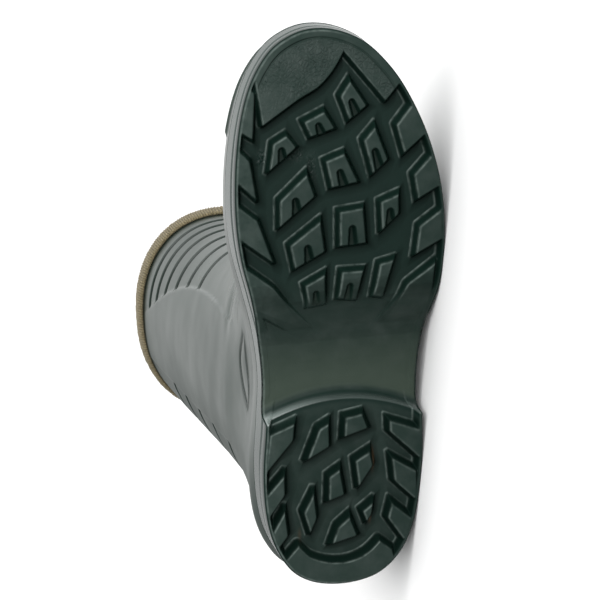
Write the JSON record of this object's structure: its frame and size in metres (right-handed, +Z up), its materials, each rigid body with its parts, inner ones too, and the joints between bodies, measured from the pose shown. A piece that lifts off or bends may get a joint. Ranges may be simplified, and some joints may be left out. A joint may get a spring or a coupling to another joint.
{
  "type": "outdoor boot",
  "caption": "Left pull-on rubber boot with a lugged two-zone sole, hollow ribbed shaft and a knit cuff, lying on its outer side.",
  "frame": {"origin": "middle of the bounding box in plan, on the floor the boot lies on", "axes": "+Z up, out of the boot's inner side; +X along the foot towards the toe; -Y out of the tread, +Y along the shaft"},
  "size_m": [0.3134, 0.3274, 0.1243],
  "materials": {
    "outsole": "satin dark green moulded rubber",
    "upper": "glossy dark green moulded rubber, pale where seen at a glancing angle",
    "insole": "matt felt",
    "collar_cuff": "fuzzy tan knit"
  },
  "bodies": {
    "root": {"outsole": "outsole", "upper": "upper", "insole": "insole", "collar_cuff": "collar_cuff"}
  },
  "joints": []
}
